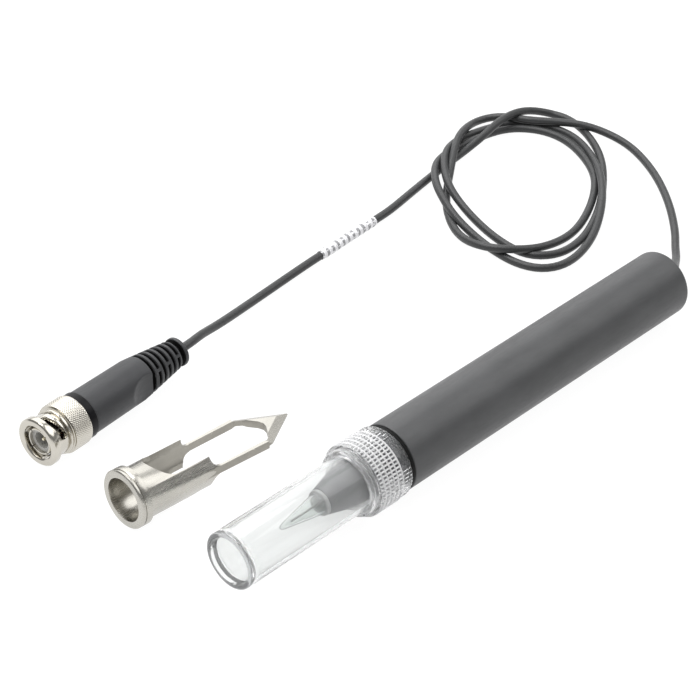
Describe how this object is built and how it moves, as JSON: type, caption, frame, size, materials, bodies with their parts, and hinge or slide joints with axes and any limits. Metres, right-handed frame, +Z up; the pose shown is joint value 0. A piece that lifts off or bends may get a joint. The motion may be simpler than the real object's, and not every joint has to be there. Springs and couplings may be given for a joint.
{
  "type": "ph electrode set",
  "caption": "Spear-tip pH electrode in a handle, with a clear storage vial, a coiled lead with a bayonet plug, and a loose steel blade.",
  "frame": {"origin": "under the middle of the electrode, vial and blade, on the surface they lie on", "axes": "+X along the electrode from its vial to the back of its handle, +Z up"},
  "size_m": [0.2429, 0.1231, 0.0208],
  "materials": {
    "handle": "dark grey, fine matte grain",
    "dark_rubber": "black, slightly glossy",
    "neck": "dark grey moulded thread",
    "shaft": "mid grey satin",
    "potting": "cast resin",
    "junction": "porous, off white",
    "glass": "clear",
    "clear_plastic": "clear moulded plastic",
    "silicone": "translucent grey",
    "wire": "coated silver",
    "brass": "bare",
    "steel": "satin stainless",
    "cable": "dark grey, smooth",
    "label": "white printed sleeve",
    "boot": "dark grey moulded",
    "clamp_black": "black",
    "nickel": "warm nickel plating",
    "insulator": "white fluoropolymer",
    "gold": "gold plated",
    "seal_red": "silicone"
  },
  "bodies": {
    "handle": {"handle_shell": "handle", "rear_grommet": "dark_rubber", "cable_crimp": "brass", "inner_lead": "cable", "potting_plug": "potting", "threaded_neck": "neck", "neck_o_ring": "dark_rubber", "shaft_o_ring": "dark_rubber", "electrode_shaft": "shaft", "junction_ring": "junction", "glass_spear": "glass", "inner_stem": "glass", "measuring_wire": "wire", "reference_wire": "wire", "cable_lead_a": "cable", "cable_coil": "cable", "cable_lead_b": "cable", "label_sleeve": "label", "boot_lead": "cable", "boot": "boot", "crimp_ferrule": "nickel", "clamp_ring": "clamp_black", "bnc_body": "nickel", "bnc_insulator": "insulator", "bnc_pin": "gold", "bnc_gasket": "seal_red", "bnc_spring_washer": "wire", "bnc_retaining_ring": "wire"},
    "vial_seal": {"vial_gasket": "silicone"},
    "vial": {"storage_vial": "clear_plastic"},
    "nut": {"knurled_nut": "clear_plastic"},
    "plug_coupling": {"bnc_coupling": "nickel"},
    "blade": {"penetration_blade": "steel"}
  },
  "joints": [
    {"name": "seal_travel", "type": "slide", "parent": "handle", "child": "vial_seal", "axis": [-1, 0, 0], "range_m": [0, 0.006]},
    {"name": "vial_pull", "type": "slide", "parent": "vial_seal", "child": "vial", "axis": [-1, 0, 0], "range_m": [0, 0.045]},
    {"name": "nut_turn", "type": "hinge", "parent": "vial", "child": "nut", "pos_m": [-0.02914, -0.01819, 0.0104], "axis": [1, 0, 0], "range_deg": [0, 1440]},
    {"name": "coupling_spin", "type": "hinge", "parent": "handle", "child": "plug_coupling", "pos_m": [-0.08543, 0.05567, 0.00725], "axis": [-0.9969, -0.0785, 0], "continuous": true},
    {"name": "blade_lift", "type": "slide", "parent": "handle", "child": "blade", "axis": [0, 0, 1], "range_m": [0, 0.05]}
  ],
  "couplings": [
    {"joint": "seal_travel", "follows": "nut_turn", "m_per_rad": 0.00023873}
  ]
}
